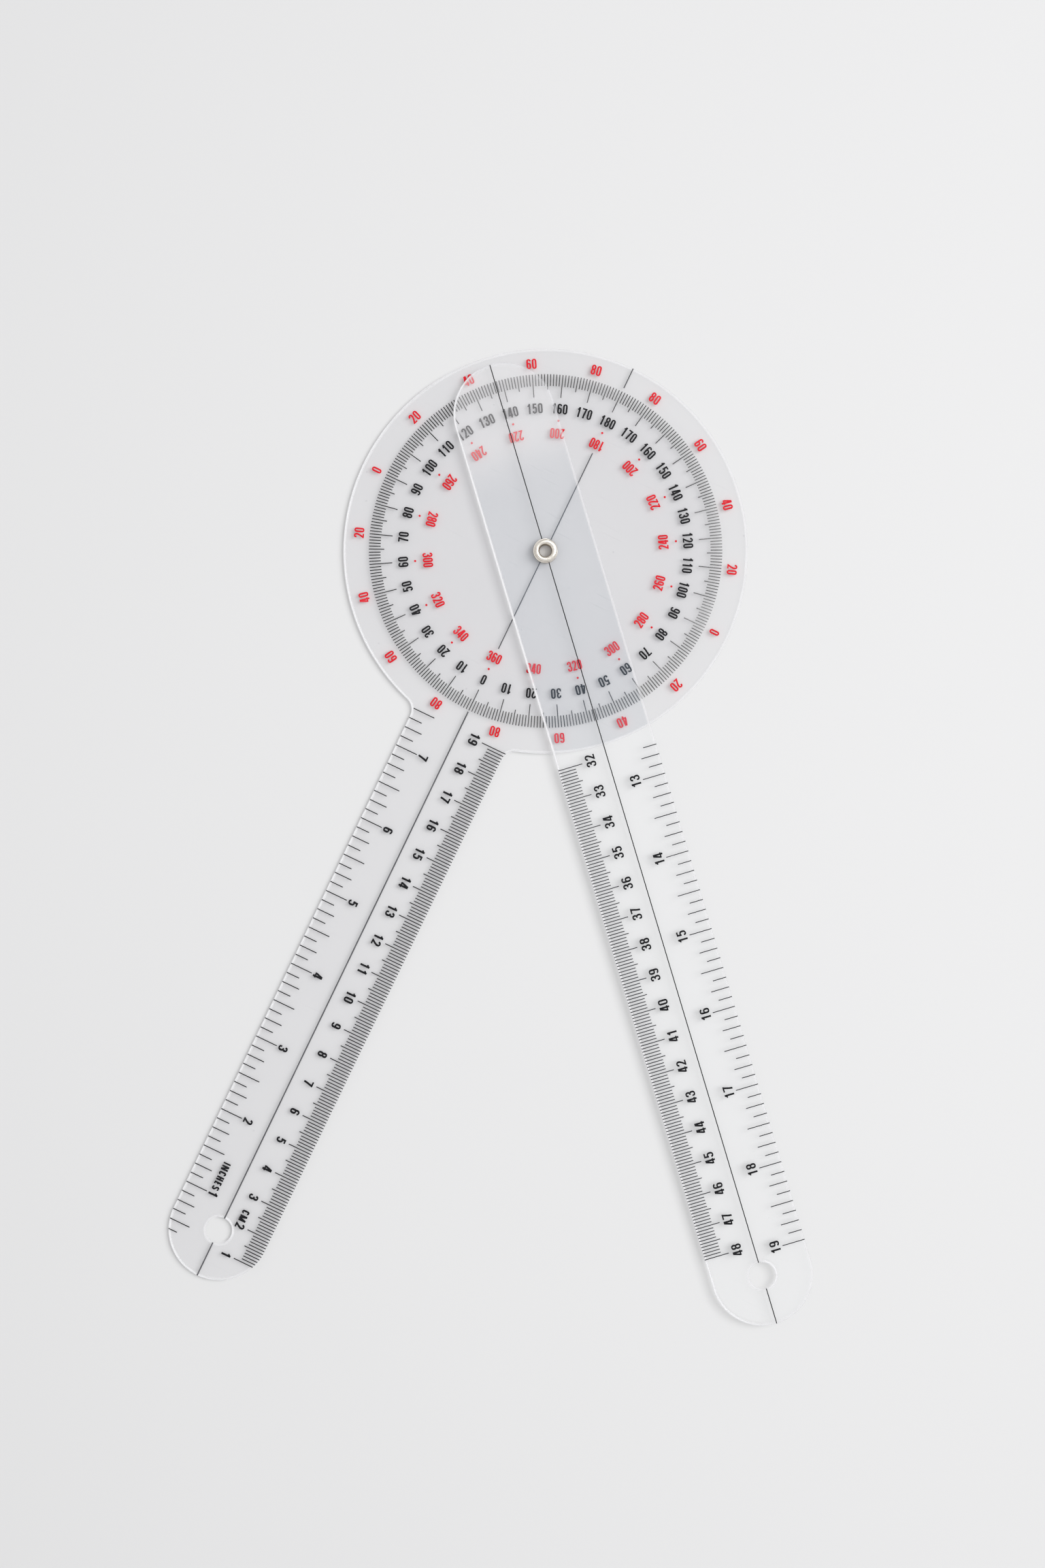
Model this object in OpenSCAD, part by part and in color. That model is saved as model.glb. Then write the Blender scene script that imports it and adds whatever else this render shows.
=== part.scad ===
// Full-circle goniometer for measuring joint angles, with a ruler along both arms.
// Two clear plastic sheets turn on one hollow metal eyelet. The dial sheet is a disc
// with the fixed arm cut in one piece with it; the moving arm lies on top of it.
// Frame: origin on the pivot axis at the underside of the eyelet, which is the resting
// plane. +Z points up out of the printed faces. The fixed arm runs along -Y. The moving
// arm stands at rest_angle, counter-clockwise from the fixed arm seen from above.
// Both rulers count from the tip of the fixed arm, straight through the pivot, so the
// moving arm carries the far half of one long scale that is read with the arms opened out.

/* [Dial sheet] */
// Diameter of the round dial
disc_d = 127; // [118:1:140]
// Radius of the hollow corner where the fixed arm runs into the dial
neck_r = 4.5; // [2:0.5:7]
// Thickness of each plastic sheet
sheet_t = 1; // [0.6:0.1:2]

/* [Arms] */
// Width of both arms
arm_w = 32; // [28:0.5:40]
// Pivot axis to the tip of either arm
arm_len = 252.8; // [200:0.4:300]
// Pivot axis to the end of the moving arm's tail, inside the rim of the dial
tail_len = 60.8; // [30:0.2:62]
// Angle between the two arms as the goniometer lies
rest_angle = 42.4; // [0:0.1:180]
// Diameter of the hanging hole near each tip
hang_d = 8.2; // [4:0.1:12]
// Tip of an arm to the centre of its hanging hole
hang_in = 15.8; // [12:0.1:24]

/* [Eyelet] */
// Diameter of the bore through the eyelet
bore_d = 3.8; // [3:0.1:6]
// Wall of the eyelet's barrel
wall = 0.45; // [0.3:0.05:0.7]
// Diameter of the flat flange under the dial
flange_d = 7.6; // [7:0.1:12]
// Thickness of that flange
flange_t = 0.4; // [0.2:0.1:0.8]
// Width of the rolled lip, from the bore to its outer edge
lip_w = 1.8; // [1.2:0.05:1.9]
// Diameter of the washer under the rolled lip
washer_d = 7.6; // [7.4:0.1:12]
// Thickness of the washer
washer_t = 0.35; // [0.2:0.05:1]

/* [Fits] */
// Gap all round the eyelet's barrel in both sheets
pivot_clear = 0.05; // [0.02:0.01:0.1]
// Gap all round the barrel in the washer, which the lip grips
washer_clear = 0.02; // [0.01:0.01:0.1]
// Air left above the print where one layer turns over another
slide_gap = 0.05; // [0.03:0.01:0.3]

/* [Print] */
// Height of the printed ink on a sheet
ink_t = 0.05; // [0.03:0.01:0.1]
// Ink stops this far inside a cut edge
edge_in = 0.15; // [0.1:0.05:0.5]
// Width of the lines on the dial sheet and its fixed arm
dial_line_w = 0.35; // [0.15:0.05:0.6]
// Width of the moving arm's centre line
arm_line_w = 0.25; // [0.15:0.05:0.6]

/* [Degree ring] */
// Rim of the dial in to the outer end of the degree marks
ring_in = 8.1; // [7:0.1:10]
// Width of the degree marks
degree_w = 0.3; // [0.2:0.05:0.5]
// Length of a one-degree mark
degree_len = 3.65; // [2:0.05:5]
// Length of a five-degree mark
five_len = 4.8; // [3:0.05:6]
// Length of a ten-degree mark
ten_len = 7.2; // [5:0.05:9]
// Outer end of the degree marks in to the red dots
dot_in = 14.4; // [13:0.1:16]
// Diameter of a red dot
dot_d = 0.7; // [0.4:0.1:1]
// Degrees from one red dot to the next
dot_step = 20; // [10, 20, 30]
// Outer end of the degree marks in to the ends of the dial's own centre line
line_in = 21.4; // [18:0.1:28]
// Outer end of the degree marks out to the fixed arm's centre line
ring_gap = 0.5; // [0.2:0.1:1]
// Outer end of the degree marks out to the index line at the half turn
index_gap = 1.2; // [0.5:0.1:2]
// Pivot hole out to the inner ends of the centre lines
hub_gap = 0.6; // [0.3:0.1:2]

/* [Rulers] */
// Width of the ruler marks on the fixed arm
fixed_mark_w = 0.2; // [0.15:0.05:0.4]
// Width of the ruler marks on the moving arm
moving_mark_w = 0.15; // [0.12:0.01:0.4]
// How far a millimetre mark reaches in from the edge
mm_len = 5.5; // [3:0.1:6]
// How far a half-centimetre mark reaches in
half_cm_len = 6.55; // [4:0.05:7]
// How far a centimetre mark reaches in
cm_len = 7.85; // [5:0.05:8.5]
// How far an eighth-inch mark reaches in
eighth_len = 4.35; // [3:0.05:5]
// How far a quarter-inch mark reaches in
quarter_len = 5.85; // [4:0.05:6.5]
// How far inch and half-inch marks reach in
inch_len = 7.25; // [5:0.05:8.5]
// First centimetre that is marked on the fixed arm
first_cm = 1; // [1:1:3]
// First eighth of an inch that is marked on the fixed arm
first_eighth = 3; // [3:1:8]
// Dial's rim to the first mark on the moving arm, at least
rim_clear = 2; // [1:0.5:5]

/* [Hidden] */
$fn = 96;
eps = 0.01;

inch = 25.4;
eighth = inch / 8;
cm = 10;

disc_r = disc_d / 2;
half_w = arm_w / 2;
tip_y = arm_len - half_w;
tail_y = tail_len - half_w;
hang_y = arm_len - hang_in;

// The hollow corners: how far out each one's centre lies, and how far down the arm
neck_x = half_w + neck_r;
neck_y = sqrt(pow(disc_r + neck_r, 2) - pow(neck_x, 2));
// Point where a hollow corner meets the rim of the dial
neck_share = disc_r / (disc_r + neck_r);

// Heights, from the resting plane up
bore_r = bore_d / 2;
barrel_r = bore_r + wall;
pivot_r = barrel_r + pivot_clear;
dial_z = flange_t;
dial_top = dial_z + sheet_t;
arm_z = dial_top + ink_t + slide_gap;
arm_top = arm_z + sheet_t;
washer_z = arm_top + ink_t + slide_gap;
lip_z = washer_z + washer_t;
lip_r = lip_w / 2;

// Degree ring and what stands off from it
ring_r = disc_r - ring_in;
dot_r = ring_r - dot_in;
line_r = ring_r - line_in;
hub_r = pivot_r + hub_gap;

// The rulers: where each run of marks starts and stops
rim_chord = sqrt(pow(disc_r, 2) - pow(half_w, 2));
fixed_run = arm_len - rim_chord;
last_cm = floor(fixed_run / cm);
last_eighth = floor(fixed_run / eighth);
moving_start = arm_len + disc_r + rim_clear;
moving_stop = arm_len + tip_y;
moving_first_mm = ceil(moving_start / cm) * cm;
moving_last_mm = floor(moving_stop / cm) * cm;
moving_first_eighth = ceil(moving_start / eighth);
moving_last_eighth = floor(moving_stop / inch) * 8;

// Half the width of an arm at distance d from the pivot, round the tip as well
function tip_half(d) = d > tip_y ? sqrt(max(0, pow(half_w, 2) - pow(d - tip_y, 2))) : half_w;

// Half the width of the fixed arm at distance d, with the hollow corner at the neck
function neck_half(d) = d < neck_y
    ? neck_x - sqrt(max(0, pow(neck_r, 2) - pow(neck_y - d, 2)))
    : tip_half(d);

// Narrowest half width under a mark of width w that is centred at distance d
function under_mark(d, w) = min(tip_half(d - w / 2), tip_half(d + w / 2));
function under_neck(d, w) = min(neck_half(d - w / 2), neck_half(d + w / 2));

function cm_reach(mm) = mm % cm == 0 ? cm_len : mm % (cm / 2) == 0 ? half_cm_len : mm_len;
function inch_reach(n) = n % 4 == 0 ? inch_len : n % 2 == 0 ? quarter_len : eighth_len;
function degree_reach(a) = a % 10 == 0 ? ten_len : a % 5 == 0 ? five_len : degree_len;

// One arm's outline from y = from out to its round tip
module arm_outline(from) {
    translate([-half_w, -tip_y])
        square([arm_w, tip_y - from]);
    translate([0, -tip_y])
        circle(half_w);
}

module hanging_hole() {
    translate([0, -hang_y])
        circle(hang_d / 2);
}

// The corner of plastic between the fixed arm and the dial, hollowed by an arc
module neck_corner() {
    difference() {
        polygon([
            [half_w - neck_r, -neck_y],
            [neck_x, -neck_y],
            [neck_x * neck_share, -neck_y * neck_share],
            [half_w - neck_r, -neck_y * neck_share]
        ]);
        translate([neck_x, -neck_y])
            circle(neck_r);
    }
}

module dial_outline() {
    circle(disc_r);
    arm_outline(0);
    neck_corner();
    mirror([1, 0])
        neck_corner();
}

// A ruler mark across an arm's edge, on side +1 or -1, from reach inside the arm's
// straight edge out to x = out, centred at distance d from the pivot
module rule_mark(side, d, reach, out, w) {
    inner = half_w - reach;
    x = side > 0 ? inner : -out;
    translate([x, -d - w / 2])
        square([out - inner, w]);
}

// A straight stroke of ink along the Y axis between two distances from the pivot
module stroke_down(d0, d1, w) {
    translate([-w / 2, -d1])
        square([w, d1 - d0]);
}

// Ink on the dial sheet
module dial_ink() {
    translate([0, 0, dial_top])
        linear_extrude(ink_t)
            children();
}

// Puts a piece of the moving arm at its angle
module at_rest_angle() {
    rotate([0, 0, rest_angle])
        children();
}

// Ink on the moving arm
module arm_ink() {
    at_rest_angle()
        translate([0, 0, arm_top])
            linear_extrude(ink_t)
                children();
}

// Round dial and fixed arm, one clear sheet
module dial_plate() {
    color([0.86, 0.87, 0.9, 0.4])
        translate([0, 0, dial_z])
            linear_extrude(sheet_t)
                difference() {
                    dial_outline();
                    circle(pivot_r);
                    hanging_hole();
                }
}

// Moving arm with its round tail, one clear sheet
module moving_arm() {
    color([0.84, 0.85, 0.9, 0.4])
        at_rest_angle()
            translate([0, 0, arm_z])
                linear_extrude(sheet_t)
                    difference() {
                        union() {
                            arm_outline(-tail_y);
                            translate([0, tail_y])
                                circle(half_w);
                        }
                        circle(pivot_r);
                        hanging_hole();
                    }
}

// Cross-section of the eyelet: flat flange, barrel and rolled lip
module eyelet_section() {
    translate([bore_r, 0])
        square([wall, lip_z + eps]);
    translate([bore_r, 0])
        square([flange_d / 2 - flange_t / 2 - bore_r, flange_t]);
    translate([flange_d / 2 - flange_t / 2, flange_t / 2])
        circle(flange_t / 2);
    translate([bore_r + lip_r, lip_z])
        difference() {
            circle(lip_r);
            circle(lip_r - wall);
            translate([-lip_w, -lip_w])
                square([2 * lip_w, lip_w]);
        }
}

// Hollow eyelet, open from end to end, with its lip rolled down onto the washer
module pivot_eyelet() {
    color([0.82, 0.77, 0.69])
        rotate_extrude()
            eyelet_section();
}

// Plain washer that spreads the rolled lip on the moving arm
module eyelet_washer() {
    color([0.78, 0.74, 0.67])
        translate([0, 0, washer_z])
            difference() {
                cylinder(h = washer_t, r = washer_d / 2);
                translate([0, 0, -eps])
                    cylinder(h = washer_t + 2 * eps, r = barrel_r + washer_clear);
            }
}

// One mark for each degree of the circle, longer at the fives and longest at the tens
module degree_ring() {
    color([0.1, 0.1, 0.11])
        dial_ink()
            for (a = [0 : 359])
                rotate(a)
                    translate([-degree_w / 2, -ring_r])
                        square([degree_w, degree_reach(a)]);
}

// Red dots under every second ten, for the long way round
module dial_dots() {
    color([0.85, 0.12, 0.16])
        dial_ink()
            for (a = [0 : dot_step : 359])
                rotate(a)
                    translate([0, -dot_r])
                        circle(dot_d / 2);
}

// The dial's own centre line, broken at the eyelet
module dial_centre_line() {
    color([0.1, 0.1, 0.11])
        dial_ink()
            for (a = [0, 180])
                rotate(a)
                    stroke_down(hub_r, line_r, dial_line_w);
}

// Short line at the half turn, from the degree ring out to the rim
module dial_index_line() {
    color([0.1, 0.1, 0.11])
        dial_ink()
            rotate(180)
                stroke_down(ring_r + index_gap, disc_r - edge_in, dial_line_w);
}

// Centre line of the fixed arm, broken at its hanging hole
module fixed_arm_line() {
    color([0.1, 0.1, 0.11])
        dial_ink() {
            stroke_down(ring_r + ring_gap, hang_y - hang_d / 2 - edge_in, dial_line_w);
            stroke_down(hang_y + hang_d / 2 + edge_in, arm_len - edge_in, dial_line_w);
        }
}

// Millimetre ruler on the fixed arm's +X edge; its print runs out to the cut edge
module fixed_arm_cm_scale() {
    color([0.1, 0.1, 0.11])
        dial_ink()
            for (mm = [first_cm * cm : last_cm * cm]) {
                d = arm_len - mm;
                rule_mark(1, d, cm_reach(mm), under_neck(d, fixed_mark_w) - edge_in, fixed_mark_w);
            }
}

// Inch ruler in eighths on the fixed arm's -X edge
module fixed_arm_inch_scale() {
    color([0.1, 0.1, 0.11])
        dial_ink()
            for (n = [first_eighth : last_eighth]) {
                d = arm_len - n * eighth;
                rule_mark(-1, d, inch_reach(n), under_mark(d, fixed_mark_w) - edge_in, fixed_mark_w);
            }
}

// Centre line of the moving arm, broken at the eyelet and at its hanging hole
module moving_arm_line() {
    color([0.1, 0.1, 0.11])
        arm_ink() {
            stroke_down(-tail_len + edge_in, -hub_r, arm_line_w);
            stroke_down(hub_r, hang_y - hang_d / 2 - edge_in, arm_line_w);
            stroke_down(hang_y + hang_d / 2 + edge_in, arm_len - edge_in, arm_line_w);
        }
}

// Millimetre ruler on the moving arm's -X edge, counted on from the fixed arm's tip
module moving_arm_cm_scale() {
    color([0.3, 0.3, 0.32])
        arm_ink()
            for (mm = [moving_first_mm : moving_last_mm]) {
                d = mm - arm_len;
                rule_mark(-1, d, cm_reach(mm), under_mark(d, moving_mark_w) - edge_in, moving_mark_w);
            }
}

// Inch ruler in eighths on the moving arm's +X edge
module moving_arm_inch_scale() {
    color([0.3, 0.3, 0.32])
        arm_ink()
            for (n = [moving_first_eighth : moving_last_eighth]) {
                d = n * eighth - arm_len;
                rule_mark(1, d, inch_reach(n), under_mark(d, moving_mark_w) - edge_in, moving_mark_w);
            }
}

dial_plate();
moving_arm();
pivot_eyelet();
eyelet_washer();
degree_ring();
dial_dots();
dial_centre_line();
dial_index_line();
fixed_arm_line();
fixed_arm_cm_scale();
fixed_arm_inch_scale();
moving_arm_line();
moving_arm_cm_scale();
moving_arm_inch_scale();
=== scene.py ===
"""Looks of a full-circle goniometer: two clear sheets, printed scales and numbers, and a hollow eyelet.

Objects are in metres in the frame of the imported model. The sizes in the classes are in millimetres unless
they say metres, measured from the pivot axis, with the fixed arm along -Y.
"""

import logging
import math
from collections.abc import Callable
from dataclasses import dataclass, field
from enum import Enum

import bmesh
import bpy
from mathutils import Matrix, Vector
from mathutils.geometry import delaunay_2d_cdt


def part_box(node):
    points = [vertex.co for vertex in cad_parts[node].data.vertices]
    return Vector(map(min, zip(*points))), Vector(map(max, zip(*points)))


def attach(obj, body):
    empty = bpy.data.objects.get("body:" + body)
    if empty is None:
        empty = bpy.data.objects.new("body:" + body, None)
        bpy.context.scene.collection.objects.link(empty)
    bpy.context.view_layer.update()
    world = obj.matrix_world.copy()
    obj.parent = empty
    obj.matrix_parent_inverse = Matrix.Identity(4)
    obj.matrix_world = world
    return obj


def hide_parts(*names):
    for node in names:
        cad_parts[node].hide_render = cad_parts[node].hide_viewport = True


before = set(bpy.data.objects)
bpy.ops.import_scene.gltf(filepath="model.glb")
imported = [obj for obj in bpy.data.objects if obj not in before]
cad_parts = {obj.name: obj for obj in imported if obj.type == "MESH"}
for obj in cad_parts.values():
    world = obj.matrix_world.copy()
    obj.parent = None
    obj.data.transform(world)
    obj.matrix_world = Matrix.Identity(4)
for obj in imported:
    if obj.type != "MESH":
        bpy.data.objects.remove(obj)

Point = tuple[float, float]
Colour = tuple[float, float, float]
Socket = bpy.types.NodeSocket

LOG = logging.getLogger("goniometer")
MM = 0.001
CM = 10.0
INCH = 25.4
UNIT: Point = (0.0, 1.0)
DRIFT: Point = (0.3, 0.7)  # the values between which nearly all of the tone drift lies
PLASTIC_IOR = 1.5
INK_IOR = 1.25
SQUARISH = 0.85  # power that makes a figure's bowls squarer than an ellipse
BOW_STEP = 15  # largest angle between two points of a bowl
WELD = 0.004  # distance at which two corners of a figure become one


class Body(Enum):
    """The two rigid bodies that a piece can move with."""

    DIAL = "dial"
    ARM = "arm"


class Slot(Enum):
    """The record's material slots."""

    CLEAR = "clear_sheet"
    BLACK = "black_ink"
    RED = "red_ink"
    METAL = "eyelet_metal"


class Facing(Enum):
    """Which way the tops of the dial's numbers point."""

    OUTWARD = 180.0
    INWARD = 0.0


def grey(level: float) -> Colour:
    """A grey of one linear level."""
    return (level, level, level)


@dataclass
class NodeBoard:
    """A node tree with short ways to add and join its nodes.

    Args:
        tree: the tree that the nodes go into.
    """

    tree: bpy.types.NodeTree

    def feed(self, value: object, socket: Socket) -> None:
        """Gives an input its value.

        Args:
            value: an output socket to link, a number, a vector or a linear colour.
            socket: the input.
        """
        if isinstance(value, Socket):
            self.tree.links.new(value, socket)
        else:
            socket.default_value = (*value, 1.0) if socket.type == "RGBA" else value

    def add(self, kind: str, **settings: object) -> bpy.types.Node:
        """Adds one node.

        Args:
            kind: the node's Blender type.
            settings: properties, or inputs where the name starts with in_, with _ for a space.

        Returns:
            The new node.
        """
        node = self.tree.nodes.new(kind)
        for name, value in settings.items():
            if name.startswith("in_"):
                key = name[3:]
                self.feed(value, node.inputs[int(key) if key.isdigit() else key.replace("_", " ")])
            else:
                setattr(node, name, value)
        return node

    def maths(self, operation: str, first: object, second: object, clamp: bool = False) -> Socket:
        """Does a sum, such as MULTIPLY, with two numbers or sockets."""
        node = self.add("ShaderNodeMath", operation=operation, use_clamp=clamp, in_0=first, in_1=second)
        return node.outputs[0]

    def ranged(self, value: Socket, start: Point, end: Point = UNIT, smooth: bool = False) -> Socket:
        """Maps a value from one range to another.

        Args:
            value: the socket to map.
            start: lowest and highest value that come in.
            end: the two values that they become.
            smooth: whether the change eases in and out.

        Returns:
            The mapped value's socket.
        """
        kind = "SMOOTHSTEP" if smooth else "LINEAR"
        node = self.add("ShaderNodeMapRange", interpolation_type=kind, in_Value=value)
        for name, number in zip(("From Min", "From Max", "To Min", "To Max"), (*start, *end)):
            node.inputs[name].default_value = number
        return node.outputs["Result"]

    def blend(self, factor: object, first: object, second: object) -> Socket:
        """Mixes two colours: all of the first at a factor of 0, and all of the second at 1."""
        return self.add("ShaderNodeMix", data_type="RGBA", in_0=factor, in_6=first, in_7=second).outputs[2]

    def place(self) -> Socket:
        """The place on the object."""
        return self.add("ShaderNodeTexCoord").outputs["Object"]

    def axis(self, vector: Socket, name: str) -> Socket:
        """The X, Y or Z of a vector."""
        return self.add("ShaderNodeSeparateXYZ", in_Vector=vector).outputs[name]

    def length(self, vector: Socket) -> Socket:
        """The length of a vector."""
        return self.add("ShaderNodeVectorMath", operation="LENGTH", in_0=vector).outputs["Value"]

    def along(self, vector: Socket, way: Point) -> Socket:
        """How far a vector goes along a level unit vector."""
        node = self.add("ShaderNodeVectorMath", operation="DOT_PRODUCT", in_0=vector, in_1=(*way, 0.0))
        return node.outputs["Value"]


@dataclass
class EffectGroup:
    """A shader node group that several finishes use, with named inputs and outputs.

    Args:
        name: the group's name.
        numbers: the number inputs with their starting values.
        outputs: the outputs, each with its socket type.
        colours: the names of the colour inputs.
    """

    name: str
    numbers: dict[str, float]
    outputs: dict[str, str]
    colours: tuple[str, ...] = ()
    board: NodeBoard = field(init=False)
    given: bpy.types.bpy_prop_collection = field(init=False)

    def __post_init__(self) -> None:
        """Makes the empty group and its sockets."""
        tree = bpy.data.node_groups.new(self.name, "ShaderNodeTree")
        for name in self.colours:
            tree.interface.new_socket(name, in_out="INPUT", socket_type="NodeSocketColor")
        for name, value in self.numbers.items():
            socket = tree.interface.new_socket(name, in_out="INPUT", socket_type="NodeSocketFloat")
            socket.default_value = value
        for name, kind in self.outputs.items():
            tree.interface.new_socket(name, in_out="OUTPUT", socket_type=kind)
        self.board = NodeBoard(tree)
        self.given = self.board.add("NodeGroupInput").outputs

    def give(self, **sockets: Socket) -> None:
        """Sends sockets to the group's outputs."""
        self.board.add("NodeGroupOutput", **{f"in_{name}": socket for name, socket in sockets.items()})

    def put(self, board: NodeBoard, **values: object) -> bpy.types.bpy_prop_collection:
        """Puts the group into a material with its input values, and gives its outputs."""
        inputs = {f"in_{name}": value for name, value in values.items()}
        return board.add("ShaderNodeGroup", node_tree=self.board.tree, **inputs).outputs


@dataclass
class Effects:
    """The surface effects that the finishes share, each built once."""

    drift: EffectGroup = field(init=False)
    scratches: EffectGroup = field(init=False)
    specks: EffectGroup = field(init=False)

    def __post_init__(self) -> None:
        """Builds the three groups."""
        self.drift = self._tone_drift()
        self.scratches = self._fine_scratches()
        self.specks = self._dust_specks()

    @staticmethod
    def _tone_drift() -> EffectGroup:
        """Makes the slow change of tone over a surface.

        Returns:
            A group that gives the colour with its brightness drifting, and the drift itself.
        """
        group = EffectGroup(
            "tone_drift",
            {"Strength": 0.05, "Scale": 30.0},
            {"Colour": "NodeSocketColor", "Drift": "NodeSocketFloat"},
            ("Colour",),
        )
        board, given = group.board, group.given
        noise = board.add("ShaderNodeTexNoise", in_Detail=3.0, in_Roughness=0.55, in_Vector=board.place())
        board.feed(given["Scale"], noise.inputs["Scale"])
        drift = board.maths("MULTIPLY", board.maths("SUBTRACT", noise.outputs["Fac"], 0.5), given["Strength"])
        bright = board.maths("ADD", drift, 1.0)
        tone = board.add("ShaderNodeHueSaturation", in_Value=bright, in_Color=given["Colour"])
        group.give(Colour=tone.outputs["Color"], Drift=noise.outputs["Fac"])
        return group

    @staticmethod
    def _fine_scratches() -> EffectGroup:
        """Makes hairline handling scratches in two directions.

        Returns:
            A group that gives a mask, 1 in a scratch, and a height for a Bump node.
        """
        sockets = {"Mask": "NodeSocketFloat", "Height": "NodeSocketFloat"}
        group = EffectGroup("fine_scratches", {"Scale": 60.0, "Amount": 0.5}, sockets)
        board, given = group.board, group.given
        place = board.place()
        total: object = 0.0
        for turn, stretch in ((24.0, 26.0), (103.0, 32.0)):
            mapping = board.add("ShaderNodeMapping", in_Vector=place, in_Scale=(1.0, stretch, 1.0))
            mapping.inputs["Rotation"].default_value = (0.0, 0.0, math.radians(turn))
            noise = board.add("ShaderNodeTexNoise", in_Detail=1.0, in_Roughness=0.4, in_Scale=given["Scale"])
            board.feed(mapping.outputs["Vector"], noise.inputs["Vector"])
            line = board.ranged(noise.outputs["Fac"], (0.70, 0.76), smooth=True)
            total = board.maths("ADD", total, line, clamp=True)
        mask = board.maths("MULTIPLY", total, given["Amount"], clamp=True)
        group.give(Mask=mask, Height=board.maths("SUBTRACT", 1.0, mask))
        return group

    @staticmethod
    def _dust_specks() -> EffectGroup:
        """Makes sparse specks, such as dust on a sheet or pinholes in ink.

        Returns:
            A group that gives a mask, 1 in a speck.
        """
        numbers = {"Scale": 400.0, "Share": 0.12, "Size": 0.2}
        group = EffectGroup("dust_specks", numbers, {"Mask": "NodeSocketFloat"})
        board, given = group.board, group.given
        cells = board.add("ShaderNodeTexVoronoi", in_Vector=board.place(), in_Scale=given["Scale"])
        near = board.maths("LESS_THAN", cells.outputs["Distance"], given["Size"])
        split = board.add("ShaderNodeSeparateColor", in_Color=cells.outputs["Color"])
        chosen = board.maths("LESS_THAN", split.outputs["Red"], given["Share"])
        group.give(Mask=board.maths("MULTIPLY", near, chosen))
        return group


@dataclass
class Surface(NodeBoard):
    """A material's node board with its one Principled shader.

    Args:
        shader: the shader.
    """

    shader: bpy.types.Node

    def set(self, **values: object) -> None:
        """Sets the shader's inputs, with _ for a space in a name."""
        for name, value in values.items():
            self.feed(value, self.shader.inputs[name.replace("_", " ")])

    def bump(self, height: Socket, strength: float, depth: float) -> None:
        """Bumps the normal: depth is the height in metres that a height of 1 stands for."""
        node = self.add("ShaderNodeBump", in_Height=height, in_Strength=strength, in_Distance=depth)
        self.set(Normal=node.outputs["Normal"])

    def let_light_by(self, alpha: Socket, cast: object) -> None:
        """Makes the surface see-through, and more so for light on its way to the table.

        Args:
            alpha: how opaque the surface looks.
            cast: the share of that which stops light, a number or a socket.
        """
        path = self.add("ShaderNodeLightPath").outputs
        passing = self.maths("MAXIMUM", path["Is Shadow Ray"], path["Is Diffuse Ray"])
        spared = self.maths("MULTIPLY", passing, self.maths("SUBTRACT", 1.0, cast))
        self.set(Alpha=self.maths("MULTIPLY", alpha, self.maths("SUBTRACT", 1.0, spared), clamp=True))


@dataclass(frozen=True)
class Finish:
    """What every finish has.

    Args:
        name: the material's name.
        colour: the linear base colour.
    """

    name: str
    colour: Colour

    def make(self, effects: Effects) -> bpy.types.Material:
        """Builds the material.

        Args:
            effects: the shared surface effects.

        Returns:
            The finished material.
        """
        material = bpy.data.materials.new(self.name)
        material.use_nodes = True
        tree = material.node_tree
        self.dress(Surface(tree, next(n for n in tree.nodes if n.type == "BSDF_PRINCIPLED")), effects)
        return material

    def dress(self, surface: Surface, effects: Effects) -> None:
        """Gives the material's surface its colour, roughness and bump."""
        raise NotImplementedError


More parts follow.
